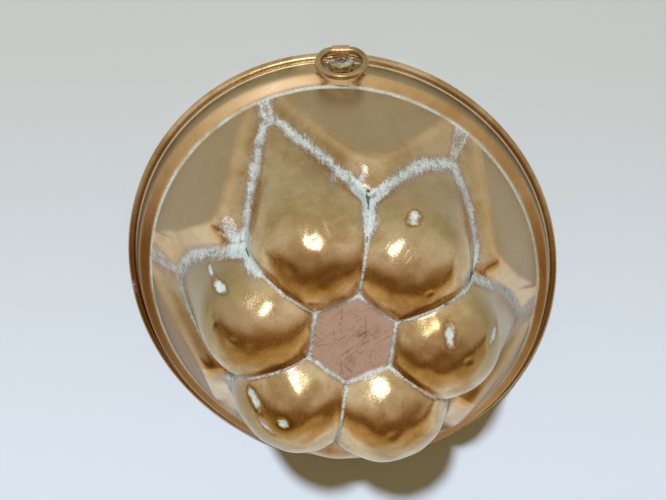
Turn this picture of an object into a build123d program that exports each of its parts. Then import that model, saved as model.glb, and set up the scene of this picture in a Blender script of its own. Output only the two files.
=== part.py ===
from build123d import *
from math import atan2, cos, degrees, radians, sin, sqrt, tan
import os

os.makedirs("parts", exist_ok=True)

# Driving sizes, millimetres and degrees. The mould stands on its rim, crown up, hanger toward +Y.
rim_diameter = 210.0
sheet = 0.9
rim_wire_diameter = 2.8
rim_flat = 0.3
curl_slit = 0.3

curl_slit_start = 0.8
curl_overlap = 0.7
collar_taper = 3.0
wall_top_height = 15.2
ledge_width = 6.1
ledge_inner_height = 18.6

lobe_count = 6
flower_turn = -8.5
web_slope = 57.5
crown_pitch_radius = 54.0

tower_wall_slope = 67.6
tower_inner_top = 78.0
tower_outer_top = 60.0
tower_inner_reach = 50.0
tower_ledge_overlap = 2.0
tower_inner_half = 59.5
tower_outer_half = 33.6
tower_arch_power = 1.3
tower_arch_sink = 4.0

lobe_radius = 29.0
lobe_reach = 36.8
lobe_centre_height = 77.5
lobe_lean = 14.0
lobe_sink = 4.0

hexagon_radius = 19.1
hexagon_height = 97.0
hexagon_step = 0.4

strap_width = 7.8
strap_thickness = 0.7
strap_gap = 0.1
strap_tuck = 1.2
knuckle_outset = 1.5
knuckle_split = 0.5
knuckle_split_length = 1.6
rosette_diameter = 12.0
rosette_thickness = 2.4
rosette_height = 10.9
rosette_edge = 0.7
rivet_shank_diameter = 2.0
rivet_head_diameter = 3.4
rivet_head_height = 0.9
rivet_tail_diameter = 3.2
rivet_tail_height = 0.8
burr_diameter = 5.0
burr_thickness = 0.8
burr_seat = 0.05

ring_wire_diameter = 3.2
ring_clearance = 0.08
ring_outer_width = 24.7
ring_corner_radius = 4.0
ring_straight = 9.0
ring_lean = 28.0

# Sizes that follow from the ones above.
wire_radius = rim_wire_diameter / 2
bead_radius = wire_radius + sheet
bead_centre_radius = rim_diameter / 2 - bead_radius
bead_centre_height = bead_radius - rim_flat
wall_foot_radius = bead_centre_radius - bead_radius + curl_overlap
wall_top_radius = wall_foot_radius - collar_taper
ledge_inner_radius = wall_top_radius - ledge_width
tower_outer_reach = ledge_inner_radius + tower_ledge_overlap
knuckle_radius_from_axis = rim_diameter / 2 + knuckle_outset
wall_rise = wall_top_height - bead_centre_height
wall_run = wall_foot_radius - wall_top_radius
wall_length = sqrt(wall_rise * wall_rise + wall_run * wall_run)
wall_out = Vector(wall_rise / wall_length, wall_run / wall_length)
wall_up = Vector(-wall_run / wall_length, wall_rise / wall_length)
wall_angle = degrees(atan2(wall_run, wall_rise))
crown_pitch_height = ledge_inner_height + (ledge_inner_radius - crown_pitch_radius) * tan(radians(web_slope))
step = 360 / lobe_count
tower_angles = [90 + flower_turn + step * number for number in range(lobe_count)]
lobe_angles = [angle + step / 2 for angle in tower_angles]


def moved_line(start, end, depth):
    """The two ends of a line moved sideways, to the left of its direction."""
    along = (end - start).normalized()
    side = Vector(-along.Y, along.X) * depth
    return start + side, end + side


def crossing(line_one, line_two):
    """Where two lines of a section meet."""
    one, two = line_one
    three, four = line_two
    first = two - one
    second = four - three
    span = first.X * second.Y - first.Y * second.X
    share = ((three.X - one.X) * second.Y - (three.Y - one.Y) * second.X) / span
    return one + first * share


def body_outline(depth):
    """The turned section of collar, ledge and core, moved inward by depth."""
    corners = [
        Vector(wall_foot_radius, bead_centre_height),
        Vector(wall_top_radius, wall_top_height),
        Vector(ledge_inner_radius, ledge_inner_height),
        Vector(crown_pitch_radius, crown_pitch_height),
        Vector(hexagon_radius, hexagon_height - hexagon_step),
        Vector(0, hexagon_height - hexagon_step),
    ]
    lines = []
    for start, end in zip(corners[:-1], corners[1:]):
        lines.append(moved_line(start, end, depth))
    points = [lines[0][0] - (lines[0][1] - lines[0][0]) * (0.5 if depth > 0 else 0)]
    for before, after in zip(lines[:-1], lines[1:]):
        points.append(crossing(before, after))
    points.append(Vector(0, lines[-1][1].Y))
    points.append(Vector(0, points[0].Y))
    return points


def turned(points):
    """A solid turned about the vertical axis from section points."""
    with BuildSketch(Plane.XZ) as section:
        with BuildLine():
            Polyline([(point.X, point.Y) for point in points], close=True)
        make_face()
    return revolve(section.sketch, Axis.Z, 360)


def tower(depth):
    """One outer tower: a steep turned wall under a roof with an arched, fanned section."""
    slope = radians(tower_wall_slope)
    inset = depth / sin(slope)
    low = ledge_inner_height - 2 * tower_arch_sink
    high = tower_inner_top + 2 * tower_ledge_overlap
    wide = ledge_inner_radius - inset + (ledge_inner_height - low) / tan(slope)
    narrow = ledge_inner_radius - inset - (high - ledge_inner_height) / tan(slope)
    wall = turned([Vector(0, low), Vector(wide, low), Vector(narrow, high), Vector(0, high)])
    inner_end = (tower_inner_reach, tower_inner_half, tower_inner_top)
    outer_end = (tower_outer_reach, tower_outer_half, tower_outer_top)
    sections = []
    for reach, half, peak in (inner_end, outer_end):
        top = peak - 1.1 * depth
        foot = ledge_inner_height - tower_arch_sink
        half_here = half - 1.1 * depth
        points = []
        for number in range(-4, 5):
            share = number / 4
            fall = (top - foot) * abs(share) ** tower_arch_power
            points.append((half_here * share, top - fall))
        place = Plane(origin=(reach, 0, 0), x_dir=(0, 1, 0), z_dir=(1, 0, 0))
        with BuildSketch(place) as section:
            with BuildLine():
                arch = Spline(points)
                Polyline([arch @ 1, (half_here, low), (-half_here, low), arch @ 0])
            make_face()
        sections.append(section.sketch.face())
    roof = Solid.make_loft([face.outer_wire() for face in sections], True)
    return wall & roof


def lobe(depth):
    """One egg-shaped lobe: a ball carried down and outward at the lean of its outer side."""
    radius = lobe_radius - depth
    centre = Vector(lobe_reach, 0, lobe_centre_height)
    ball = Pos(centre) * Sphere(radius)
    length = (lobe_centre_height - ledge_inner_height + lobe_sink) / cos(radians(lobe_lean))
    trunk = Cylinder(radius, length, align=(Align.CENTER, Align.CENTER, Align.MAX))
    return ball + Pos(centre) * Rot(0, -lobe_lean, 0) * trunk


def hexagon(radius, low, high):
    """A six-sided prism with its corners toward the towers."""
    with BuildSketch(Plane.XY.offset(low)) as section:
        RegularPolygon(radius, lobe_count, rotation=tower_angles[0])
    return extrude(section.sketch, high - low)


def crown_form(depth):
    """The solid the sheet was pressed over, moved inward by depth."""
    form = turned(body_outline(depth))
    for angle in tower_angles:
        form += Rot(0, 0, angle) * tower(depth)
    for angle in lobe_angles:
        form += Rot(0, 0, angle) * lobe(depth)
    margin = depth / cos(radians(step / 2))
    form += hexagon(hexagon_radius - margin, lobe_centre_height, hexagon_height - depth)
    form -= hexagon(hexagon_radius + margin, hexagon_height - depth, hexagon_height + lobe_radius)
    return form


def rim_curl():
    """The sheet rolled outward round the rim wire, worn flat where the mould stands."""
    with BuildSketch(Plane.XZ) as section:
        with Locations((bead_centre_radius, bead_centre_height)):
            Circle(bead_radius)
            Circle(wire_radius, mode=Mode.SUBTRACT)
        foot = Vector(wall_foot_radius, bead_centre_height)
        slit = [foot + wall_up * curl_slit_start, foot + wall_up * 2 * bead_radius]
        slit += [slit[1] + wall_out * curl_slit, slit[0] + wall_out * curl_slit]
        with BuildLine():
            Polyline([(point.X, point.Y) for point in slit], close=True)
        make_face(mode=Mode.SUBTRACT)
        with Locations((bead_centre_radius, -bead_radius)):
            Rectangle(4 * bead_radius, 2 * bead_radius, mode=Mode.SUBTRACT)
    return revolve(section.sketch, Axis.Z, 360)


def rivet_frame():
    """The place of the rivet on the outside of the wall, its Z pointing straight out."""
    run = (rosette_height - bead_centre_height) / wall_rise
    radius = wall_foot_radius - wall_run * run
    out = (0, wall_out.X, wall_out.Y)
    return Plane(origin=(0, radius, rosette_height), x_dir=(1, 0, 0), z_dir=out)


def disc(diameter, height, side):
    """A round disc above or below its own plane."""
    return Cylinder(diameter / 2, height, align=(Align.CENTER, Align.CENTER, side))


def mould_shell():
    """Pressed copper sheet: crown, ledge, collar and rolled rim in one piece."""
    shell = crown_form(0) - crown_form(sheet)
    shell += rim_curl()
    place = rivet_frame()
    hole = Cylinder(rivet_shank_diameter / 2, 4 * rosette_thickness)
    return shell - place.location * hole


def rim_wire():
    """The iron wire inside the rolled rim."""
    with BuildSketch(Plane.XZ) as section:
        with Locations((bead_centre_radius, bead_centre_height)):
            Circle(wire_radius)
    return revolve(section.sketch, Axis.Z, 360)


def knuckle_centre():
    """The hinge line of the ring, as radius and height."""
    bore = ring_wire_diameter / 2 + ring_clearance
    lift = bead_centre_height + bead_radius + strap_gap + strap_thickness + bore
    return Vector(knuckle_radius_from_axis, lift)


def hanger_strap():
    """The strip on the wall that crosses the rim and rolls round the ring."""
    centre = knuckle_centre()
    bore = ring_wire_diameter / 2 + ring_clearance
    outer = bore + strap_thickness
    low = centre.Y - outer
    place = rivet_frame()
    base = Vector(place.origin.Y, place.origin.Z)
    top = base + wall_up * (rosette_diameter / 2 - strap_tuck)
    bend = crossing((base, base - wall_up), (Vector(0, low), Vector(1, low)))
    inner_bend = crossing(
        (base + wall_out * strap_thickness, base + wall_out * strap_thickness - wall_up),
        (Vector(0, low + strap_thickness), Vector(1, low + strap_thickness)),
    )
    strip = [
        top,
        bend,
        Vector(centre.X, low),
        Vector(centre.X, low + strap_thickness),
        inner_bend,
        top + wall_out * strap_thickness,
    ]
    half = strap_width / 2
    with BuildSketch(Plane.YZ.offset(-half)) as section:
        with BuildLine():
            Polyline([(point.X, point.Y) for point in strip], close=True)
        make_face()
        with Locations((centre.X, centre.Y)):
            Circle(outer)
            Circle(bore, mode=Mode.SUBTRACT)
        with Locations((centre.X - outer + strap_thickness / 2, low + strap_thickness + knuckle_split / 2)):
            Rectangle(knuckle_split_length, knuckle_split, mode=Mode.SUBTRACT)
    strap = extrude(section.sketch, strap_width)
    hole = Cylinder(rivet_shank_diameter / 2, 4 * rosette_thickness)
    return strap - place.location * hole


def hanger_rosette():
    """The thick round boss the rivet passes through, its outer edge rounded."""
    place = rivet_frame()
    boss = disc(rosette_diameter, rosette_thickness, Align.MIN)
    rim = boss.edges().group_by(Axis.Z)[-1]
    boss = fillet(rim, rosette_edge)
    boss -= Cylinder(rivet_shank_diameter / 2, 3 * rosette_thickness)
    return place.location * Pos(0, 0, strap_thickness) * boss


def hanger_rivet():
    """The rivet: a low domed head, a shank through boss, strap and wall, and a closed end inside."""
    place = rivet_frame()
    top = strap_thickness + rosette_thickness
    low = -sheet - burr_seat - burr_thickness
    head = disc(rivet_head_diameter, rivet_head_height, Align.MIN)
    head = fillet(head.edges().group_by(Axis.Z)[-1], rivet_head_height * 0.8)
    shank = disc(rivet_shank_diameter, top - low, Align.MIN)
    tail = disc(rivet_tail_diameter, rivet_tail_height, Align.MAX)
    tail = fillet(tail.edges().group_by(Axis.Z)[0], rivet_tail_height * 0.6)
    rivet = Pos(0, 0, top) * head + Pos(0, 0, low) * shank + Pos(0, 0, low) * tail
    return place.location * rivet


def rivet_burr():
    """The washer the rivet is closed over on the inside of the wall."""
    place = rivet_frame()
    burr = disc(burr_diameter, burr_thickness, Align.MAX)
    burr -= Cylinder(rivet_shank_diameter / 2, 4 * burr_thickness)
    return place.location * Pos(0, 0, -sheet - burr_seat) * burr


def hanger_ring():
    """The round wire ring, straight where it turns in the knuckle."""
    wire = ring_wire_diameter / 2
    large = ring_outer_width / 2 - wire
    small = ring_corner_radius
    half = ring_straight / 2
    rise = small + sqrt((large - small) ** 2 - half ** 2)
    lean = radians(ring_lean)
    centre = knuckle_centre()
    place = Plane(
        origin=(0, centre.X, centre.Y),
        x_dir=(1, 0, 0),
        z_dir=(0, -cos(lean), -sin(lean)),
    )
    away = Vector(half, small - rise).normalized()
    touch = (away.X * large, rise + away.Y * large)
    middle = Vector(half, small) + Vector(away.X, away.Y - 1).normalized() * small
    with BuildLine(place) as path:
        Line((-half, 0), (half, 0))
        ThreePointArc((half, 0), (middle.X, middle.Y), touch)
        ThreePointArc(touch, (0, rise + large), (-touch[0], touch[1]))
        ThreePointArc((-touch[0], touch[1]), (-middle.X, middle.Y), (-half, 0))
    start = Plane(origin=path.line @ 0, z_dir=path.line % 0)
    with BuildSketch(start) as section:
        Circle(wire)
    return sweep(section.sketch, path.line)


def save(solid, name):
    """Write one piece as STEP under its node name."""
    export_step(solid, "parts/" + name + ".step")


save(mould_shell(), "mould_shell")
save(rim_wire(), "rim_wire")
save(hanger_strap(), "hanger_strap")
save(hanger_rosette(), "hanger_rosette")
save(hanger_rivet(), "hanger_rivet")
save(rivet_burr(), "rivet_burr")
save(hanger_ring(), "hanger_ring")
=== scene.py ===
from math import cos, pi, radians, sin, tan

import bpy
import numpy as np
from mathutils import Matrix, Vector


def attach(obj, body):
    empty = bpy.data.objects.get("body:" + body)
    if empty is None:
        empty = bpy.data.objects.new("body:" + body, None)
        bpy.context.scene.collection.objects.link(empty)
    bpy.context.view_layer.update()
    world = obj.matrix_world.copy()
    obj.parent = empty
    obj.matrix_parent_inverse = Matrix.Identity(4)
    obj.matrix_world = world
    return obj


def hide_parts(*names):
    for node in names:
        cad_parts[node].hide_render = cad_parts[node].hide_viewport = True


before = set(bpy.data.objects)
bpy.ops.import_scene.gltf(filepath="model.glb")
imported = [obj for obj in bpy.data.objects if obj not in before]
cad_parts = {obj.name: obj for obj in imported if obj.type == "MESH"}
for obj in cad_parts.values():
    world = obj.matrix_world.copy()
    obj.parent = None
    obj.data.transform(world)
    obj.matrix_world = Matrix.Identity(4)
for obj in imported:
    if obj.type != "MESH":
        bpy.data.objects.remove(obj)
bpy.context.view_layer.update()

# ---------------------------------------------------------------- sizes, in millimetres and degrees
# the pattern of towers and lobes is turned a little from the hanger, which is toward +Y
TURN = -8.5
TOWER_AT = 90 + TURN
STEP_AROUND = 60

# the flat hexagon in the middle and the turned web that runs from it down to the ledge
HEXAGON_RADIUS = 19.1
HEXAGON_HEIGHT = 97.0
WEB_TOP = 96.6
WEB_RADIUS = 54
WEB_STEEPNESS = 57.5
CREASE_RADIUS = 92.0
CREASE_HEIGHT = 18.6
LEDGE_SLOPE = 0.557

# the outer towers: a steep wall under a roof that narrows and falls from its start to its outer end
TOWER_STEEPNESS = 67.6
ROOF_START = 50
ROOF_LENGTH = 44
ROOF_HALF_WIDTHS = (59.5, 33.6)
ROOF_TOPS = (78, 60)
ROOF_FOOT = CREASE_HEIGHT - 4
ROOF_ARCH = 1.3
RIDGE_ROUND = 6

# the lobes, and each one's own lean, pointed foot and painted dark reflection on its end, from the upper left
# one round by the lower ones to the upper right
LOBE_REACH = 36.8
LOBE_RADIUS = 29.0
LOBE_CENTRE = 77.1
LEANS = np.array([14.0, 14.0, 12.0, 14.0, 15.0, 13.5])
PROWS = np.array([7.0, 1.5, 1.0, 2.0, 3.5, 3.0])
DARK_END_REFLECTIONS = np.array([0.4, 1.0, 0.75, 0.25, 0.95, 0.65])

# the collar's wall outside and inside, and the rim rolled round its wire
LEDGE_EDGE = (98.1, 15.2)
WALL_TOP = 13.9
WALL_FOOT = 3.3
WALL_TAPER = 0.2273
WALL_RADIUS = 101.1
INNER_WALL_RADIUS = 100.18
MID_WALL_RADIUS = 100.64
BEAD_CENTRE = (102.7, 2.0)
BEAD_RADIUS = 2.3
RIM_PLANE = 2

# how far the mould is knocked oval
SQUEEZE = 0.027

# the net on which the form is worked out, and the spokes of the mesh
CELL = 0.4
SPAN = 99.2
SPOKES = 468
# how far the inside lies below the lowest outside near it
INSIDE_DROP = 0.45
# the height given to a form where it isn't, and the distance given to points with no crease near them
NOWHERE = -20
FAR = 99


# ---------------------------------------------------------------- small helpers for modelling
def deselect():
    """Leave nothing selected, so that the next operator acts on its own piece only."""
    bpy.ops.object.select_all(action="DESELECT")


def mesh_points(piece):
    """The piece's points as an array."""
    points = np.empty(len(piece.data.vertices) * 3)
    piece.data.vertices.foreach_get("co", points)
    return points.reshape(-1, 3)


def set_points(piece, points):
    """Put the piece's points where the array says."""
    piece.data.vertices.foreach_set("co", np.asarray(points, dtype=float).ravel())
    piece.data.update()


def tidy_faces(piece, distance=1e-6):
    """Merge doubles and turn every face outward."""
    bpy.context.view_layer.objects.active = piece
    bpy.ops.object.mode_set(mode="EDIT")
    bpy.ops.mesh.select_all(action="SELECT")
    bpy.ops.mesh.remove_doubles(threshold=distance)
    bpy.ops.mesh.normals_make_consistent(inside=False)
    bpy.ops.object.mode_set(mode="OBJECT")


def paint(piece, name, values):
    """Keep one number per point under a name that the material reads."""
    layer = piece.data.attributes.new(name, "FLOAT", "POINT")
    layer.data.foreach_set("value", np.asarray(values, dtype=float))


# ---------------------------------------------------------------- the pressed form, as a height at each point
def tower_frame(x, y):
    """Along and across the nearest tower's axis."""
    around = np.degrees(np.arctan2(y, x)) - TOWER_AT
    offset = np.radians((around + STEP_AROUND / 2) % STEP_AROUND - STEP_AROUND / 2)
    reach = np.hypot(x, y)
    return reach * np.cos(offset), reach * np.sin(offset)


def lobe_frame(x, y):
    """Along and across the nearest lobe's axis."""
    around = np.degrees(np.arctan2(y, x)) - TOWER_AT
    offset = np.radians(around % STEP_AROUND - STEP_AROUND / 2)
    reach = np.hypot(x, y)
    return reach * np.cos(offset), reach * np.sin(offset)


def lobe_number(x, y):
    """Which lobe's sector a point lies in, counted from the upper left one."""
    return ((np.degrees(np.arctan2(y, x)) - TOWER_AT) % 360 // STEP_AROUND).astype(int) % 6


def core_height(x, y):
    """The turned web under the lobes and the sloping ledge."""
    web_foot = CREASE_HEIGHT + (CREASE_RADIUS - WEB_RADIUS) * tan(radians(WEB_STEEPNESS))
    beyond = 58
    radii = [0, HEXAGON_RADIUS, WEB_RADIUS, CREASE_RADIUS, CREASE_RADIUS + beyond]
    heights = [WEB_TOP, WEB_TOP, web_foot, CREASE_HEIGHT, CREASE_HEIGHT - beyond * LEDGE_SLOPE]
    return np.interp(np.hypot(x, y), radii, heights)


def tower_parts(x, y):
    """Heights of a tower's steep turned wall and of its pointed roof, which narrows and falls outward."""
    along, across = tower_frame(x, y)
    wall = CREASE_HEIGHT + (CREASE_RADIUS - np.hypot(x, y)) * tan(radians(TOWER_STEEPNESS))
    share = (along - ROOF_START) / ROOF_LENGTH
    half = np.maximum(ROOF_HALF_WIDTHS[0] + (ROOF_HALF_WIDTHS[1] - ROOF_HALF_WIDTHS[0]) * share, 1)
    top = ROOF_TOPS[0] + (ROOF_TOPS[1] - ROOF_TOPS[0]) * share
    # the ridge is rounded over: the slope starts gently from the middle
    rounded = (across**2 + RIDGE_ROUND**2) / (2 * RIDGE_ROUND)
    slope = np.where(np.abs(across) < RIDGE_ROUND, rounded, np.abs(across))
    roof = top - (top - ROOF_FOOT) * np.clip(slope / half, 0, 3) ** ROOF_ARCH
    return wall, np.where(along > ROOF_START - 10, roof, NOWHERE)


def tower_height(x, y):
    """A tower stops at its wall or its roof, whichever comes first."""
    wall, roof = tower_parts(x, y)
    return np.minimum(wall, roof)


def lobe_height(x, y):
    """A ball carried down and outward, its foot drawn out to a point."""
    along, across = lobe_frame(x, y)
    number = lobe_number(x, y)
    lean, prow = np.radians(LEANS[number]), PROWS[number]
    along = along - LOBE_REACH
    left = np.clip(LOBE_RADIUS**2 - across**2, 0, None)
    ball = LOBE_CENTRE + np.sqrt(np.clip(left - along**2, 0, None))
    # the point grows over the first stretch of the drop and keeps its full length below it
    point_half_width, stretch = 18, 40
    point = prow * np.clip(1 - np.sqrt(across**2 + 2) / point_half_width, 0, None) ** 1.4
    push = along * np.cos(lean) - np.sqrt(left)
    drop = push / (np.sin(lean) + point / stretch)
    drop = np.where(drop > stretch, (push - point) / np.sin(lean), drop)
    trunk = LOBE_CENTRE - drop
    height = np.where(along * np.sin(lean) >= (trunk - LOBE_CENTRE) * np.cos(lean), trunk, ball)
    outside = (left <= 0) | ((left - along**2 <= 0) & (height <= LOBE_CENTRE) & (along < 0))
    return np.where(outside, NOWHERE, height)


def hexagon_distance(x, y):
    """Distance inside the edge of the flat hexagon, negative outside it."""
    across = lobe_frame(x, y)[0]
    return HEXAGON_RADIUS * cos(pi / 6) - across


def blurred(field, width):
    """The field rounded off over a width in millimetres, along one axis and then along the other."""
    cells = int(3 * width / CELL) + 1
    steps = np.arange(-cells, cells + 1) * CELL
    weights = np.exp(-0.5 * (steps / width) ** 2)
    weights /= weights.sum()
    for axis in range(2):
        padded = np.pad(field, ((cells, cells), (0, 0)), mode="edge")
        field = sum(w * padded[i : i + field.shape[0]] for i, w in enumerate(weights)).T
    return field


def lowest_near(field, cells):
    """The lowest height within a few cells, taken along one axis and then along the other."""
    for axis in range(2):
        padded = np.pad(field, ((cells, cells), (0, 0)), mode="edge")
        field = np.min([padded[i : i + field.shape[0]] for i in range(2 * cells + 1)], axis=0).T
    return field


def soft_step(value, low, high):
    """0 up to the low value, 1 from the high value on, and smooth between them."""
    share = np.clip((value - low) / (high - low), 0, 1)
    return share * share * (3 - 2 * share)


def oval(x, y, place):
    """1 in the middle of an oval mark, 0 at its edge, negative outside."""
    cx, cy, long_half, short_half, angle = place
    turn = radians(angle)
    along = (x - cx) * cos(turn) + (y - cy) * sin(turn)
    across = (y - cy) * cos(turn) - (x - cx) * sin(turn)
    return 1 - np.sqrt((along / long_half) ** 2 + (across / short_half) ** 2)


# Dents: centre x, y, half length, half width, direction, depth. The first eight hold pale lime.
DENTS = [
    (-53.7, 22.8, 3.4, 2.2, -15, 0.9),
    (-58.3, 24.9, 1.6, 1.2, 0, 0.4),
    (25.8, 51.1, 3.3, 2.2, 20, 0.9),
    (39.3, 3.4, 5.4, 2.5, 95, 1.0),
    (58.7, -0.2, 4.2, 1.6, 70, 0.9),
    (-41.1, -25.3, 5.4, 1.9, -62, 1.0),
    (-29.6, -33.0, 2.9, 2.7, 0, 0.9),
    (-36.8, -36.3, 4.6, 1.1, -46, 0.6),
    (-49.5, 2.8, 2.3, 2.3, 0, -0.5),
    (47.3, -8.1, 2.0, 2.0, 0, 0.6),
    (31.1, 22.0, 1.5, 1.3, 0, 0.4),
    (-6.6, 62.3, 3.4, 2.8, 0, 0.35),
    (-15.1, 50.9, 4.6, 1.5, 60, 0.55),
    (-11.1, 50.3, 4.2, 1.4, 115, 0.55),
    (-14.5, 44.7, 3.6, 2.0, 10, 0.35),
    (16.0, -40.4, 3.4, 2.4, 40, 0.5),
    (-58.7, 13.3, 6.0, 1.1, 80, 0.6),
    (-56.8, 8.3, 5.0, 1.0, 60, -0.45),
    (16.6, 67.6, 1.2, 1.2, 0, 0.3),
    (34.3, 66.8, 1.2, 1.2, 0, 0.3),
]
LIME_DENTS = 8


def waves(chance, x, y, count, lengths, divisor):
    """Random waves laid over one another, the longer ones higher."""
    total = np.zeros_like(x)
    for wave in range(count):
        turn, length, phase = chance.uniform(0, 2 * pi), chance.uniform(*lengths), chance.uniform(0, 2 * pi)
        total += np.sin((x * cos(turn) + y * sin(turn)) * 2 * pi / length + phase) * length / divisor
    return total


def pressed_form():
    """The heights of the whole pressed crown on a fine net, with soft creases and dents."""
    axis = np.arange(-SPAN, SPAN + CELL, CELL)
    x, y = np.meshgrid(axis, axis, indexing="ij")
    reach = np.hypot(x, y)
    sharp = np.maximum(np.maximum(core_height(x, y), tower_height(x, y)), lobe_height(x, y))
    sharp = np.where(hexagon_distance(x, y) > 0, HEXAGON_HEIGHT, sharp)
    fine = blurred(sharp, 0.45)
    soft = blurred(sharp, 0.8)
    broad = blurred(sharp, 2.6)
    # the hexagon's edge stays crisp, the creases outside it are softer
    form = fine + (soft - fine) * soft_step(reach, 20, 24)
    along, across = tower_frame(x, y)
    # the nose of each tower, where wall and roof meet, is worn rounder
    nose = soft_step(along, 58, 64) * (1 - soft_step(along, 76, 82)) * (1 - soft_step(np.abs(across), 8, 20))
    form = form + (broad - form) * nose
    # the sheet is beaten by hand, so it isn't perfectly even
    chance = np.random.default_rng(7)
    sway = waves(chance, x, y, 26, (14, 40), 40)
    blows = waves(chance, x, y, 22, (6, 13), 10)
    lobes = lobe_height(x, y) > np.maximum(core_height(x, y), tower_height(x, y))
    more = 1 + 0.7 * soft_step(-y, -10, 45) * soft_step(reach, 36, 50)
    uneven = sway * np.where(lobes, 0.095 * more, 0.045) + blows * np.where(lobes, 0.026 * more, 0.008)
    form = form + uneven * soft_step(96 - reach, 0, 6) * soft_step(reach, 14, 22)
    # a dent's edge runs out softly past its oval
    run_out = 0.35
    for dent in DENTS:
        inside = np.clip(oval(x, y, dent[:5]) + run_out, 0, None) / (1 + run_out)
        form = form - dent[5] * inside**1.5 * (3 - inside) / 2
    return axis, form


def sampled(axis, field, x, y):
    """The field between the points of its net."""
    i = np.clip((x - axis[0]) / CELL, 0, len(axis) - 1.001)
    j = np.clip((y - axis[0]) / CELL, 0, len(axis) - 1.001)
    i0, j0 = i.astype(int), j.astype(int)
    u, v = i - i0, j - j0
    low = field[i0, j0] * (1 - u) + field[i0 + 1, j0] * u
    high = field[i0, j0 + 1] * (1 - u) + field[i0 + 1, j0 + 1] * u
    return low * (1 - v) + high * v


def rim_section():
    """Radius and height of the collar and rolled rim, outside, under and back up inside."""
    section = []
    # the rounded edge from ledge to wall, then the wall
    before, after = (97.0, 15.81), (98.4, WALL_TOP)
    for t in (0, 0.2, 0.4, 0.6, 0.8, 1):
        weights = ((1 - t) ** 2, 2 * t * (1 - t), t * t)
        section.append(
            tuple(before[k] * weights[0] + LEDGE_EDGE[k] * weights[1] + after[k] * weights[2] for k in (0, 1))
        )
    for step in range(1, 9):
        height = WALL_TOP - step * (WALL_TOP - WALL_FOOT) / 8
        section.append((WALL_RADIUS - (height - RIM_PLANE) * WALL_TAPER, height))
    # the bead, round as far as the narrow worn flat under it, and on from the flat to the inside
    first, flat = 145.5, 60.4
    outer_turn = [first - step * (first + flat) / 16 for step in range(1, 17)]
    inner_turn = [flat - 180 - step * flat / 3 for step in range(4)]
    for turn in outer_turn + inner_turn:
        angle = radians(turn)
        section.append((BEAD_CENTRE[0] + BEAD_RADIUS * cos(angle), BEAD_CENTRE[1] + BEAD_RADIUS * sin(angle)))
    for height in (2.9, 3.7, 6.0, 9.0, 12.0, 14.0):
        section.append((INNER_WALL_RADIUS - (height - RIM_PLANE) * WALL_TAPER, height))
    section.append((97.1, 14.72))
    return np.array(section)


def mould_skin():
    """The whole pressed sheet: crown, ledge, collar and rolled rim, outside and inside."""
    axis, form = pressed_form()
    under = lowest_near(form, 6) - INSIDE_DROP
    # radii of the rings over the crown, closest at the hexagon's edge and over lobes and towers
    crown = np.concatenate(
        [
            np.linspace(0, 15, 10)[:-1],
            np.linspace(15, 21, 13)[:-1],
            np.linspace(21, 50, 33)[:-1],
            np.linspace(50, 91, 61)[:-1],
            np.linspace(91, 96.2, 7),
        ]
    )
    section = rim_section()
    inner = np.concatenate([np.linspace(95, 50, 22)[:-1], np.linspace(50, 0, 18)])
    rings = len(crown) + len(section) + len(inner)
    deselect()
    bpy.ops.mesh.primitive_grid_add(x_subdivisions=rings - 1, y_subdivisions=SPOKES, size=2)
    skin = bpy.context.object
    skin.name = "mould_skin"
    start = mesh_points(skin)
    ring = np.rint((start[:, 0] + 1) / 2 * (rings - 1)).astype(int)
    turn = np.radians(TOWER_AT) + (start[:, 1] + 1) * pi
    radii = np.concatenate([crown, section[:, 0], inner])[ring]
    x, y = radii * np.cos(turn), radii * np.sin(turn)
    outer = sampled(axis, form, x, y)
    inside = sampled(axis, under, x, y)
    heights = np.concatenate([np.zeros(len(crown)), section[:, 1], np.zeros(len(inner))])[ring]
    last = len(crown) + len(section)
    z = np.where(ring < len(crown), outer, np.where(ring < last, heights, inside))
    set_points(skin, np.stack([x, y, z], 1) / 1000)
    tidy_faces(skin)
    x, y, z = (mesh_points(skin) * 1000).T
    reach = np.hypot(x, y)
    # the tin starts inside the collar's wall and under the crown
    in_wall = reach < MID_WALL_RADIUS - (z - RIM_PLANE) * WALL_TAPER
    in_wall &= z < 14.7 + (LEDGE_EDGE[0] - reach) * LEDGE_SLOPE
    outside = np.where(reach > 96.4, ~in_wall, z > sampled(axis, under, x, y) + INSIDE_DROP / 2)
    paint(skin, "tin", 1 - outside.astype(float))
    mark_surface(skin, x, y, z)
    set_points(skin, np.stack([*squeezed(x, y), z], 1) / 1000)
    bpy.ops.object.shade_smooth()
    return skin


def squeezed(x, y):
    """The mould has been knocked slightly oval: in at the upper right, out at the upper left."""
    share = SQUEEZE * soft_step(np.hypot(x, y), 52, 82)
    keep = 1 - share**2 / 2
    return (x - share * y) * keep, (y - share * x) * keep


def oval_wire(wire):
    """The wire inside the rolled rim, oval like the rim round it."""
    deselect()
    wire.select_set(True)
    bpy.context.view_layer.objects.active = wire
    bpy.ops.object.duplicate()
    piece = bpy.context.object
    piece.name = "wire_in_rim"
    tidy_faces(piece)
    x, y, z = (mesh_points(piece) * 1000).T
    set_points(piece, np.stack([*squeezed(x, y), z], 1) / 1000)
    bpy.ops.object.shade_smooth()
    return piece


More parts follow.
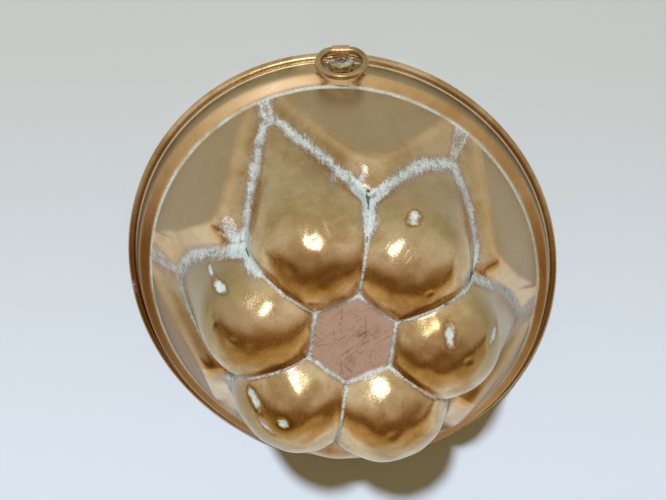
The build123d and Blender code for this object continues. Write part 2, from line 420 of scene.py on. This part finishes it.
def mark_surface(skin, x, y, z):
    """Where lime lies in the creases, where the dents and stains are, and where shade, highlights and
    reflections are painted.
    """
    reach = np.hypot(x, y)
    step = 0.3

    def gap_at(px, py):
        return lobe_height(px, py) - np.maximum(core_height(px, py), tower_height(px, py))

    gap = gap_at(x, y)
    sides = [gap_at(x + step, y), gap_at(x - step, y), gap_at(x, y + step), gap_at(x, y - step)]
    grade = np.hypot(sides[0] - sides[1], sides[2] - sides[3]) / (2 * step)
    # how far each point is from the lobes' outline, and from the seam between two lobes
    outline = np.abs(gap) / np.maximum(grade, 0.8)
    no_crease = (np.max(np.abs(sides), axis=0) > 25) | (hexagon_distance(x, y) > 0)
    outline = np.where(no_crease, FAR, outline)
    inward, sideways = tower_frame(x, y)
    seam = np.where(gap > 0, np.abs(sideways), FAR)
    # painted shade: a black spot where a tower's nose runs in between two lobes
    junction_shade = np.clip(1 - np.hypot(sideways / 1.5, (gap + 1.5) / np.maximum(grade, 0.8) / 3.4), 0, 1)
    paint(skin, "junction_shade", junction_shade * (reach > 40) * (reach < 85))
    upper = soft_step(y, -35, 40)
    outline = np.minimum(outline, seam * 1.15)
    # lime creeps further up the outer creases of the upper half than round the lower lobes
    width = 0.95 + 0.9 * upper * soft_step(reach, 38, 58) + 0.4 * soft_step(reach, 44, 60)
    chalk = 1.04 - 0.62 * outline / width
    # between two towers the lime fills the little valley from the lobe's foot to the crease
    along, across = lobe_frame(x, y)
    half = 1.8 + 4.6 * soft_step(along, 74, 92)
    between = (along > 74) & (gap < 0.5) & (reach < CREASE_RADIUS + 0.5)
    valley = np.where(between, 1.15 - np.abs(across) / half, -1)
    chalk = np.maximum(chalk, np.clip(valley, -1, 0.72))
    # the crease at the foot of the towers holds only a thin line
    paint(skin, "line", np.clip(1 - np.abs(reach - CREASE_RADIUS) / 1.1, 0, 1))
    edge = np.abs(hexagon_distance(x, y) + 0.2)
    chalk = np.maximum(chalk, np.where(reach < 24, 1.05 - 0.6 * edge / 1.05, 0))
    paint(skin, "chalk", np.clip(chalk, -0.5, 1.2))
    # painted shade right at the lobes' outlines
    paint(skin, "crease", np.clip(1 - outline / 0.8, 0, 1))
    # the place round and out from each lobe's middle, along which the lime's feathers lie
    paint(skin, "round", np.abs(np.arctan2(across, along - LOBE_REACH)) * LOBE_RADIUS / 1000)
    paint(skin, "out", np.hypot(across, along - LOBE_REACH) / 1000)
    wall, roof = tower_parts(x, y)
    tower = (gap < 0) * (reach < CREASE_RADIUS) * (reach > 60)
    pane = soft_step(roof - wall, -0.3, 1.2) * tower
    paint(skin, "pane", pane * (1.0 - 0.2 * soft_step(y, 30, 75)))
    # a painted highlight along each roof beside its ridge, and over the roofs that face toward -Y, which are
    # lit by the ground
    tower_turn = np.arctan2(y, x) - np.arctan2(sideways, inward)
    low = np.clip(-np.sign(sideways) * np.cos(tower_turn) * 1.3, 0, 1) * soft_step(wall - roof, 0, 2)
    ridge = np.clip(1 - np.abs(roof - wall + 4) / 6, 0, 1)
    paint(skin, "ridge", np.maximum(ridge, low) * tower)
    # painted dark reflection on the outer ends of the lobes, with less of it on one side of each lobe
    ends = DARK_END_REFLECTIONS[lobe_number(x, y)] * soft_step(along + 0.15 * np.abs(across), 36, 62)
    lobe_turn = np.arctan2(y, x) - np.arctan2(across, along)
    ends = ends * (1 - 0.85 * soft_step(-across * np.cos(lobe_turn), 2, 16))
    paint(skin, "end_reflection", np.where(gap >= 0, ends, 0))
    # painted shade: the ledge, collar and rim are darker to the left, right and below, and the towers darker
    # toward -Y; a painted highlight lies on the ledge beside the hanger
    around = np.degrees(np.arctan2(y, x))
    angles = [-180, -165, -135, -105, -75, -45, -15, 15, 45, 75, 95, 120, 135, 165, 180]
    shares = [0.85, 0.95, 0.65, 0.8, 0.8, 0.35, 0.65, 0.4, 0.5, 0.1, 0, 0, 0.25, 0.7, 0.85]
    skirt = soft_step(reach, 92, 93.5)
    dark = np.interp(around, angles, shares) * skirt
    dark = dark + tower * (0.3 + 0.5 * soft_step(-y, -25, 25)) * (1 - low)
    paint(skin, "dark", dark)
    ledge = skirt * (1 - soft_step(reach, 97, 99))
    paint(skin, "ledge", ledge)
    paint(skin, "collar", soft_step(reach, 97.5, 98.5) * (1 - soft_step(reach, 100.2, 100.8)) * (z > 3))
    paint(skin, "hanger_side_highlight", ledge * np.clip(1 - np.abs(around - 107) / 26, 0, 1))
    # a pale line painted along the groove above the bead, on the side toward +Y, as a highlight
    groove = np.clip(1 - np.abs(reach - 100.9) / 0.55, 0, 1) * (z > 1) * (z < 5)
    paint(skin, "groove", groove * soft_step(y + 0.35 * x, -60, 0))
    smear = np.zeros_like(x)
    for place in SMEARS:
        smear = np.maximum(smear, np.clip(oval(x, y, place[:5]), 0, 1) * place[5])
    paint(skin, "smear", smear)
    spots = np.full_like(x, -1.0)
    for dent in DENTS[:LIME_DENTS]:
        spots = np.maximum(spots, oval(x, y, dent[:5]))
    paint(skin, "spots", np.clip(spots, -1, 1))
    paint(skin, "bloom", np.clip(oval(x, y, (-29.5, -33.5, 7.0, 6.2, 0)), 0, 1))
    paint(skin, "hexagon", np.clip(hexagon_distance(x, y), -2, 2) * (reach < 40))


# Smears of lime: centre x, y, half length, half width, direction, strength.
SMEARS = [
    (7.7, 51.8, 12.0, 6.0, 85, 1.2),
    (5.9, 61.9, 8.0, 4.0, 60, 0.9),
    (-48.2, 37.6, 13.0, 6.0, 128, 1.35),
    (-41.3, 30.9, 9.0, 4.0, 130, 1.0),
    (51.6, 24.8, 10.0, 5.0, 40, 1.25),
    (-6.6, 62.3, 3.6, 2.9, 0, 0.6),
    (0.8, 98.9, 8.5, 2.8, 0, 1.3),
    (44.2, -35.0, 8.0, 4.5, -20, 0.8),
    (-54.6, -26.8, 10.0, 5.0, 210, 0.9),
    (-7.1, -49.9, 8.0, 3.5, 80, 0.7),
    (-103.5, -9.0, 9.0, 3.0, 92, 0.8),
]


# ---------------------------------------------------------------- materials
def add(tree, kind, inputs=None, **settings):
    """Add a node, set its settings, and set or link its inputs."""
    node = tree.nodes.new(kind)
    for key, value in settings.items():
        setattr(node, key, value)
    for key, value in (inputs or {}).items():
        socket = node.inputs[key]
        if isinstance(value, bpy.types.NodeSocket):
            tree.links.new(value, socket)
        else:
            socket.default_value = value
    return node


def maths(tree, operation, first, second=0.0, third=0.0):
    """The output of one sum on numbers or sockets."""
    return add(tree, "ShaderNodeMath", {0: first, 1: second, 2: third}, operation=operation).outputs[0]


def ranged(tree, value, low, high, to_low=0.0, to_high=1.0, kind="SMOOTHSTEP"):
    """The value carried from one range to another."""
    inputs = {"Value": value, "From Min": low, "From Max": high, "To Min": to_low, "To Max": to_high}
    return add(tree, "ShaderNodeMapRange", inputs, interpolation_type=kind).outputs["Result"]


def mixed(tree, share, first, second):
    """The first colour, with the second over it by the share."""
    node = add(tree, "ShaderNodeMix", data_type="RGBA")
    for index, value in ((0, share), (6, first), (7, second)):
        if isinstance(value, bpy.types.NodeSocket):
            tree.links.new(value, node.inputs[index])
        else:
            node.inputs[index].default_value = value
    return node.outputs[2]


def noise(tree, place, scale, detail=3.0, roughness=0.55, distortion=0.0):
    inputs = {"Vector": place, "Scale": scale, "Detail": detail}
    inputs.update({"Roughness": roughness, "Distortion": distortion})
    return add(tree, "ShaderNodeTexNoise", inputs).outputs["Fac"]


def stretched(tree, place, turn, scale):
    """Coordinates turned first and stretched after, so that lines can run any way."""
    inputs = {"Vector": place, "Rotation": turn, "Scale": [1 / part for part in scale]}
    return add(tree, "ShaderNodeMapping", inputs, vector_type="TEXTURE").outputs[0]


def attribute(tree, name):
    """A number painted on the piece's points."""
    return add(tree, "ShaderNodeAttribute", attribute_name=name).outputs["Fac"]


def shade(red, green, blue):
    """A colour given in 0 to 255 as it looks on screen."""
    linear = []
    for part in (red, green, blue):
        part /= 255
        linear.append(part / 12.92 if part <= 0.04045 else ((part + 0.055) / 1.055) ** 2.4)
    return (*linear, 1)


def new_material(name, colour):
    """An empty material with its tree and its one surface shader."""
    material = bpy.data.materials.new(name)
    material.use_nodes = True
    material.diffuse_color = colour
    tree = material.node_tree
    tree.nodes.clear()
    surface = add(tree, "ShaderNodeBsdfPrincipled")
    out = add(tree, "ShaderNodeOutputMaterial")
    tree.links.new(surface.outputs[0], out.inputs[0])
    return material, tree, surface


def group(name, inputs, outputs):
    """A shader node group with number inputs and the outputs named."""
    tree = bpy.data.node_groups.new(name, "ShaderNodeTree")
    for key, value in inputs.items():
        socket = tree.interface.new_socket(key, in_out="INPUT", socket_type="NodeSocketFloat")
        socket.default_value = value
    for key, kind in outputs.items():
        tree.interface.new_socket(key, in_out="OUTPUT", socket_type=kind)
    start = tree.nodes.new("NodeGroupInput").outputs
    end = tree.nodes.new("NodeGroupOutput").inputs
    return tree, start, end


def use(tree, shared, inputs):
    """Place a shared group with its own values, and give its outputs."""
    node = tree.nodes.new("ShaderNodeGroup")
    node.node_tree = shared
    for key, value in inputs.items():
        if isinstance(value, bpy.types.NodeSocket):
            tree.links.new(value, node.inputs[key])
        else:
            node.inputs[key].default_value = value
    return node.outputs


def handled_metal_group():
    """Years of rubbing: fine grain, clouds of tarnish, pits and short scratches."""
    tree, start, end = group(
        "handled_metal",
        {"Grain": 1.0, "Cloud": 1.0},
        {"Tarnish": "NodeSocketFloat", "Roughness": "NodeSocketFloat", "Height": "NodeSocketFloat"},
    )
    place = add(tree, "ShaderNodeTexCoord").outputs["Object"]
    cloud = noise(tree, place, 28, 4, 0.6, 0.6)
    mottle = noise(tree, place, 120, 5, 0.65)
    grain = noise(tree, place, 1800, 2, 0.5)
    speck = noise(tree, place, 1300, 4, 0.7)
    tarnish = maths(tree, "ADD", maths(tree, "MULTIPLY", cloud, 0.65), maths(tree, "MULTIPLY", mottle, 0.35))
    tarnish = ranged(tree, tarnish, 0.38, 0.62)
    tree.links.new(maths(tree, "MULTIPLY", tarnish, start["Cloud"]), end["Tarnish"])
    matt = ranged(tree, speck, 0.5, 0.68)
    cloudy = ranged(tree, cloud, 0.45, 0.7, 0.0, 0.09)
    rough = maths(tree, "ADD", maths(tree, "MULTIPLY_ADD", matt, 0.2, 0.145), cloudy)
    tree.links.new(rough, end["Roughness"])
    lines = stretched(tree, place, (0.3, 0.2, 0.9), (1, 14, 3))
    scratch = ranged(tree, noise(tree, lines, 160, 3, 0.6), 0.62, 0.72)
    height = maths(tree, "MULTIPLY_ADD", grain, 0.5, maths(tree, "MULTIPLY", speck, 0.8))
    height = maths(tree, "SUBTRACT", height, maths(tree, "MULTIPLY", scratch, 0.35))
    tree.links.new(maths(tree, "MULTIPLY", height, start["Grain"]), end["Height"])
    return tree


def lime_group():
    """Dried lime and verdigris: a ragged, feathered mask from a smooth share, and its colour."""
    tree, start, end = group(
        "lime_crust",
        {"Share": 0.0, "Spread": 0.5, "Green": 0.3, "Feather": 0.0, "Round": 0.0, "Out": 0.0},
        {"Mask": "NodeSocketFloat", "Color": "NodeSocketColor", "Height": "NodeSocketFloat"},
    )
    place = add(tree, "ShaderNodeTexCoord").outputs["Object"]
    ragged = noise(tree, place, 800, 6, 0.78)
    wide = noise(tree, place, 150, 4, 0.62)
    fringe = add(tree, "ShaderNodeCombineXYZ", {"X": start["Round"], "Y": start["Out"], "Z": 0.0})
    slow = add(tree, "ShaderNodeMapping", {"Vector": place, "Scale": (0.06, 0.09, 0.0)})
    hair = add(tree, "ShaderNodeVectorMath", {0: fringe.outputs[0], 1: slow.outputs[0]}, operation="ADD")
    hair = add(tree, "ShaderNodeMapping", {"Vector": hair.outputs[0], "Scale": (1400, 210, 0)})
    hair = noise(tree, hair.outputs[0], 1.0, 3, 0.6)
    wobble = maths(tree, "MULTIPLY_ADD", maths(tree, "SUBTRACT", ragged, 0.5), 1.9, 0.0)
    wobble = maths(tree, "MULTIPLY_ADD", maths(tree, "SUBTRACT", wide, 0.5), 2.3, wobble)
    feather = maths(tree, "MULTIPLY", maths(tree, "SUBTRACT", hair, 0.5), start["Feather"])
    wobble = maths(tree, "MULTIPLY_ADD", feather, 2.6, wobble)
    share = maths(tree, "MULTIPLY_ADD", wobble, start["Spread"], start["Share"])
    mask = ranged(tree, share, 0.34, 1.06, 0.0, 0.95)
    tree.links.new(mask, end["Mask"])
    pale = mixed(tree, ranged(tree, ragged, 0.35, 0.65), shade(164, 176, 175), shade(212, 220, 217))
    green = mixed(tree, start["Green"], pale, shade(150, 190, 165))
    specks = ranged(tree, noise(tree, place, 1100, 4, 0.75), 0.6, 0.72)
    colour = mixed(tree, maths(tree, "MULTIPLY", specks, 0.8), green, shade(96, 92, 72))
    tree.links.new(colour, end["Color"])
    tree.links.new(maths(tree, "MULTIPLY", mask, maths(tree, "ADD", ragged, 0.5)), end["Height"])
    return tree


# linear colours of the mould's sheet, roughly in the order in which they lie over one another
COPPER = {
    "rubbed": (0.84, 0.62, 0.345, 1),
    "tarnished": (0.51, 0.32, 0.12, 1),
    "freckled": (0.46, 0.27, 0.11, 1),
    # painted dark reflection on the lobes' outer ends
    "lobe_end_reflection": (0.43, 0.31, 0.145, 1),
    "tower_wall": (0.61, 0.49, 0.29, 1),
    "ledge": (0.72, 0.39, 0.13, 1),
    "collar": (0.38, 0.34, 0.20, 1),
    # painted shade
    "dark": (0.30, 0.16, 0.055, 1),
    # painted highlight
    "ridge": (0.88, 0.60, 0.33, 1),
    # painted highlight on the ledge beside the hanger
    "ledge_highlight": (1.0, 0.70, 0.40, 1),
    "lime_edge": (0.43, 0.31, 0.25, 1),
    "dent_edge": (0.33, 0.17, 0.07, 1),
    "bloom": (0.36, 0.28, 0.03, 1),
    "pink": (0.47, 0.31, 0.235, 1),
    "pale_pink": (0.63, 0.43, 0.325, 1),
    "smudge": (0.30, 0.17, 0.10, 1),
    "cut": (0.18, 0.09, 0.05, 1),
    # painted highlight in the groove
    "groove": (0.80, 0.77, 0.60, 1),
    "tin": (0.42, 0.40, 0.37, 1),
    "pale_tin": (0.60, 0.58, 0.54, 1),
    # painted shade deepest in the creases
    "crease": (0.10, 0.075, 0.05, 1),
    # painted shade where a tower's nose meets two lobes
    "junction_shade": (0.045, 0.05, 0.032, 1),
}


def hexagon_pink(tree, place):
    """The flat hexagon: pinker copper with smudges and knife cuts running four ways."""
    pink = mixed(tree, noise(tree, place, 300, 4, 0.6), COPPER["pink"], COPPER["pale_pink"])
    cuts = None
    for turn, scale, low in ((0.55, 90, 0.6), (-0.7, 75, 0.62), (1.5, 110, 0.62), (0.1, 60, 0.65)):
        lines = stretched(tree, place, (0, 0, turn), (1, 14, 1))
        cut = ranged(tree, noise(tree, lines, scale, 4, 0.65, 0.15), low, low + 0.06)
        cuts = cut if cuts is None else maths(tree, "MAXIMUM", cuts, cut)
    smudges = ranged(tree, noise(tree, place, 110, 4, 0.6), 0.52, 0.68, 0, 0.5)
    pink = mixed(tree, smudges, pink, COPPER["smudge"])
    return mixed(tree, maths(tree, "MULTIPLY", cuts, 0.8), pink, COPPER["cut"])


def copper_material(metal, lime):
    """The mould's copper: tarnished golden brown, lime in the creases, painted shade and reflections, and
    pinker where a highlight is painted beside the hanger.
    """
    material, tree, surface = new_material("tarnished_copper", (0.5, 0.3, 0.13, 1))
    worn = use(tree, metal, {"Grain": 1.0, "Cloud": 1.0})
    place = add(tree, "ShaderNodeTexCoord").outputs["Object"]
    chalk = attribute(tree, "chalk")
    smear = attribute(tree, "smear")
    spots = attribute(tree, "spots")
    bloom = attribute(tree, "bloom")
    hexagon = attribute(tree, "hexagon")
    share = maths(tree, "MULTIPLY_ADD", smear, 0.9, chalk)
    fringe_place = {"Round": attribute(tree, "round"), "Out": attribute(tree, "out")}
    crust = use(tree, lime, {"Share": share, "Spread": 0.5, "Green": 0.06, "Feather": 0.9, **fringe_place})
    blotches = noise(tree, place, 260, 4, 0.6)
    ripple = maths(tree, "SUBTRACT", blotches, 0.5)
    spots = maths(tree, "MULTIPLY_ADD", ripple, 1.5, spots)
    spot_share = maths(tree, "MULTIPLY_ADD", spots, 1.2, 0.3)
    marks = use(tree, lime, {"Share": spot_share, "Spread": 0.6, "Green": 0.1})

    dull = attribute(tree, "pane")
    collar = attribute(tree, "collar")
    ledge = attribute(tree, "ledge")
    groove = attribute(tree, "groove")
    fringe = ranged(tree, share, 0.05, 0.6, 0.0, 0.65)
    spot_rim = maths(tree, "SUBTRACT", 1.0, maths(tree, "ABSOLUTE", maths(tree, "ADD", spots, 0.12)))
    layers = [
        ("freckled", ranged(tree, noise(tree, place, 620, 5, 0.72), 0.54, 0.68, 0.0, 0.5)),
        ("lobe_end_reflection", attribute(tree, "end_reflection")),
        ("tower_wall", dull),
        ("ledge", maths(tree, "MULTIPLY", ledge, 0.6)),
        ("collar", maths(tree, "MULTIPLY", collar, 0.85)),
        # painted shade
        ("dark", attribute(tree, "dark")),
        # painted highlight
        ("ridge", maths(tree, "MULTIPLY", attribute(tree, "ridge"), 0.5)),
        # painted highlight
        ("ledge_highlight", attribute(tree, "hanger_side_highlight")),
        ("lime_edge", fringe),
        ("dent_edge", ranged(tree, spot_rim, 0.75, 1.0, 0, 0.7)),
        ("bloom", ranged(tree, bloom, 0.05, 0.45, 0, 0.75)),
    ]
    copper = mixed(tree, worn["Tarnish"], COPPER["rubbed"], COPPER["tarnished"])
    for name, cover in layers:
        copper = mixed(tree, cover, copper, COPPER[name])
    flat = ranged(tree, hexagon, 0.2, 1.0)
    copper = mixed(tree, flat, copper, hexagon_pink(tree, place))
    # the pale line in the groove is a painted highlight
    copper = mixed(tree, maths(tree, "MULTIPLY", groove, 0.85), copper, COPPER["groove"])
    tin = attribute(tree, "tin")
    tinned = mixed(tree, noise(tree, place, 60, 4, 0.6), COPPER["tin"], COPPER["pale_tin"])
    copper = mixed(tree, tin, copper, tinned)

    # lime in the creases and dents, the thin line at the towers' feet, and painted shade deepest in the
    # creases and where a tower's nose meets two lobes
    outside = maths(tree, "SUBTRACT", 1.0, tin)
    line = ranged(tree, attribute(tree, "line"), 0.15, 0.75, 0.0, 0.9)
    line = maths(tree, "MULTIPLY", line, ranged(tree, noise(tree, place, 90, 4, 0.6), 0.35, 0.55, 0.45, 1.0))
    crusted = maths(tree, "MAXIMUM", maths(tree, "MAXIMUM", crust["Mask"], marks["Mask"]), line)
    limed = maths(tree, "MULTIPLY", crusted, outside)
    mark_colour = mixed(tree, 0.6, marks["Color"], shade(200, 214, 213))
    lime_colour = mixed(tree, marks["Mask"], crust["Color"], mark_colour)
    crease = maths(tree, "MULTIPLY", attribute(tree, "crease"), ranged(tree, blotches, 0.52, 0.66))
    near_junction_shade = maths(tree, "MULTIPLY", ranged(tree, attribute(tree, "junction_shade"), 0.0, 0.2), outside)
    junction_shade = maths(tree, "MULTIPLY_ADD", ripple, 2.2, attribute(tree, "junction_shade"))
    junction_shade = maths(tree, "MULTIPLY", ranged(tree, junction_shade, 0.35, 0.6, 0.0, 0.9), near_junction_shade)
    skin_colour = mixed(tree, limed, copper, lime_colour)
    skin_colour = mixed(tree, maths(tree, "MULTIPLY", crease, outside), skin_colour, COPPER["crease"])
    skin_colour = mixed(tree, junction_shade, skin_colour, COPPER["junction_shade"])
    tree.links.new(skin_colour, surface.inputs["Base Color"])
    matt = maths(tree, "MAXIMUM", limed, maths(tree, "MULTIPLY", flat, 0.55))
    matt = maths(tree, "MAXIMUM", matt, maths(tree, "MULTIPLY", groove, 0.5))
    tree.links.new(ranged(tree, matt, 0, 1, 1.0, 0.0, "LINEAR"), surface.inputs["Metallic"])
    rough = maths(tree, "MULTIPLY_ADD", flat, 0.25, worn["Roughness"])
    rough = maths(tree, "MULTIPLY_ADD", tin, 0.12, rough)
    rough = maths(tree, "MULTIPLY_ADD", dull, 0.28, rough)
    rough = maths(tree, "MULTIPLY_ADD", ledge, 0.12, rough)
    rough = maths(tree, "MULTIPLY_ADD", collar, 0.2, rough)
    rough = maths(tree, "MULTIPLY_ADD", fringe, 0.15, rough)
    rough = maths(tree, "MAXIMUM", rough, maths(tree, "MULTIPLY", limed, 0.75))
    tree.links.new(rough, surface.inputs["Roughness"])
    height = maths(tree, "MULTIPLY_ADD", crust["Height"], 3.0, worn["Height"])
    bump = add(tree, "ShaderNodeBump", {"Height": height, "Strength": 0.35, "Distance": 0.00012})
    tree.links.new(bump.outputs[0], surface.inputs["Normal"])
    return material


def hanger_material(name, metal, lime, light, dark, share, green, top):
    """Brass or copper of the hanger with lime and verdigris on it, more of it on the outward face."""
    material, tree, surface = new_material(name, light)
    outward = add(tree, "ShaderNodeTexCoord").outputs["Normal"]
    outward = add(tree, "ShaderNodeVectorMath", {0: outward, 1: (0, 0.975, 0.22)}, operation="DOT_PRODUCT")
    share = maths(tree, "MULTIPLY_ADD", ranged(tree, outward.outputs["Value"], 0.7, 0.95), top, share)
    worn = use(tree, metal, {"Grain": 0.8, "Cloud": 1.0})
    crust = use(tree, lime, {"Share": share, "Spread": 0.9, "Green": green})
    metal_colour = mixed(tree, worn["Tarnish"], light, dark)
    tree.links.new(mixed(tree, crust["Mask"], metal_colour, crust["Color"]), surface.inputs["Base Color"])
    tree.links.new(ranged(tree, crust["Mask"], 0, 1, 1.0, 0.0, "LINEAR"), surface.inputs["Metallic"])
    rough = maths(tree, "MAXIMUM", worn["Roughness"], maths(tree, "MULTIPLY", crust["Mask"], 0.75))
    tree.links.new(maths(tree, "ADD", rough, 0.05), surface.inputs["Roughness"])
    height = maths(tree, "MULTIPLY_ADD", crust["Height"], 3.0, worn["Height"])
    bump = add(tree, "ShaderNodeBump", {"Height": height, "Strength": 0.5, "Distance": 0.00015})
    tree.links.new(bump.outputs[0], surface.inputs["Normal"])
    return material


def cloth_material():
    """The plain pale ground the mould stands on, with painted shade making it greyer toward +Y."""
    material, tree, surface = new_material("pale_ground", (0.72, 0.76, 0.77, 1))
    place = add(tree, "ShaderNodeTexCoord").outputs["Object"]
    along = add(tree, "ShaderNodeSeparateXYZ", {0: place}).outputs["Y"]
    # painted shade: the ground is greyer and darker toward +Y, paler and bluer toward -Y
    tone = mixed(tree, ranged(tree, along, -0.16, 0.17), (0.73, 0.82, 0.93, 1), (0.50, 0.515, 0.485, 1))
    tree.links.new(tone, surface.inputs["Base Color"])
    surface.inputs["Roughness"].default_value = 0.9
    surface.inputs["Specular IOR Level"].default_value = 0.2
    return material


# ---------------------------------------------------------------- stage, light and camera
def stage():
    """The ground under the mould."""
    deselect()
    bpy.ops.mesh.primitive_circle_add(vertices=128, radius=0.62, fill_type="NGON", location=(0, 0, 0))
    floor = bpy.context.object
    floor.name = "ground"
    floor.data.materials.append(cloth_material())


def sky():
    """A plain room: pale toward +Y, a warm brown ceiling, pale again low toward -Y."""
    world = bpy.data.worlds.new("room")
    bpy.context.scene.world = world
    world.use_nodes = True
    tree = world.node_tree
    tree.nodes.clear()
    place = add(tree, "ShaderNodeTexCoord").outputs["Generated"]
    parts = add(tree, "ShaderNodeSeparateXYZ", {0: place}).outputs
    lean = maths(tree, "ARCTAN2", maths(tree, "MULTIPLY", parts["Y"], -1.0), parts["Z"])
    ramp = add(tree, "ShaderNodeValToRGB", {0: ranged(tree, lean, -pi, pi, kind="LINEAR")})
    tones = [
        (-90, (0.56, 0.57, 0.53)),
        (-68, (0.70, 0.74, 0.72)),
        (-25, (0.70, 0.70, 0.74)),
        (2, (0.53, 0.45, 0.41)),
        (16, (0.36, 0.25, 0.14)),
        (24, (0.22, 0.12, 0.04)),
        (45, (0.17, 0.085, 0.025)),
        (50, (0.42, 0.28, 0.11)),
        (70, (0.58, 0.44, 0.24)),
        (82, (0.66, 0.56, 0.46)),
        (92, (0.74, 0.80, 0.86)),
    ]
    stops = ramp.color_ramp.elements
    while len(stops) < len(tones):
        stops.new(0.5)
    for stop, (angle, colour) in zip(stops, tones):
        stop.position = (angle + 180) / 360
        stop.color = (*colour, 1)
    # matt surfaces get most of their light from the window lamp, so the shadow stays deep and brown
    matt_ray = add(tree, "ShaderNodeLightPath").outputs["Is Diffuse Ray"]
    tone = mixed(tree, matt_ray, ramp.outputs["Color"], (0.22, 0.15, 0.06, 1))
    light = add(tree, "ShaderNodeBackground", {"Color": tone, "Strength": 1.0})
    out = add(tree, "ShaderNodeOutputWorld")
    tree.links.new(light.outputs[0], out.inputs[0])


def lamp(name, place, target, radius, power, colour, glossy):
    """A round lamp that shows either in glossy surfaces only or on matt ones only."""
    light = bpy.data.lights.new(name, "AREA")
    light.shape = "DISK"
    light.size = radius * 2
    light.energy = power
    light.color = colour
    holder = bpy.data.objects.new(name, light)
    bpy.context.collection.objects.link(holder)
    holder.location = place
    holder.rotation_euler = (Vector(target) - Vector(place)).to_track_quat("-Z", "Y").to_euler()
    holder.visible_glossy = glossy
    holder.visible_diffuse = not glossy


def camera():
    """The camera as worked out from the mould's circles."""
    picture_width, focal_length = 666, 1150
    lens = bpy.data.cameras.new("photo_view")
    lens.sensor_width = 36
    lens.lens = lens.sensor_width * focal_length / picture_width
    holder = bpy.data.objects.new("photo_view", lens)
    bpy.context.collection.objects.link(holder)
    holder.location = (-0.01661, 0.17947, 0.53761)
    holder.rotation_euler = (radians(-17.634), radians(-1.549), radians(-1.060))
    bpy.context.scene.camera = holder


# ---------------------------------------------------------------- putting it together
metal = handled_metal_group()
lime = lime_group()

skin = mould_skin()
skin.data.materials.append(copper_material(metal, lime))
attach(skin, "mould")
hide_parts("mould_shell")

# each finish: light colour, dark colour, share of lime, share of green, more lime on the outward face
FINISHES = {
    "ring_brass": ((0.52, 0.38, 0.17, 1), (0.26, 0.15, 0.05, 1), -0.05, 0.3, 0.0),
    "boss_verdigris": ((0.5, 0.38, 0.18, 1), (0.32, 0.21, 0.09, 1), -0.1, 0.35, 0.85),
    "strap_copper": ((0.80, 0.50, 0.27, 1), (0.6, 0.33, 0.14, 1), 0.05, 0.3, 0.0),
    "rivet_copper": ((0.40, 0.25, 0.11, 1), (0.24, 0.13, 0.05, 1), 0.0, 0.3, 0.0),
    "drawn_iron": ((0.3, 0.28, 0.26, 1), (0.16, 0.12, 0.1, 1), -0.3, 0.0, 0.0),
}
made = {name: hanger_material(name, metal, lime, *values) for name, values in FINISHES.items()}
finishes = {
    "hanger_ring": made["ring_brass"],
    "hanger_rosette": made["boss_verdigris"],
    "hanger_rivet": made["rivet_copper"],
    "rivet_burr": made["strap_copper"],
    "hanger_strap": made["strap_copper"],
    "rim_wire": made["drawn_iron"],
}
for node, finish in finishes.items():
    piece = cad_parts[node]
    piece.data.materials.clear()
    piece.data.materials.append(finish)

wire = oval_wire(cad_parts["rim_wire"])
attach(wire, "mould")
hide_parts("rim_wire")

stage()
sky()
lamp("flash", (-0.11, 0.463, 0.80), (0, 0, 0.04), 0.125, 1.5, (0.82, 0.90, 1.12), glossy=True)
lamp("window", (-0.38, 1.75, 2.41), (0, 0, 0.02), 0.10, 97.0, (0.93, 1.0, 1.09), glossy=False)
camera()

bpy.context.scene.view_settings.view_transform = "Standard"
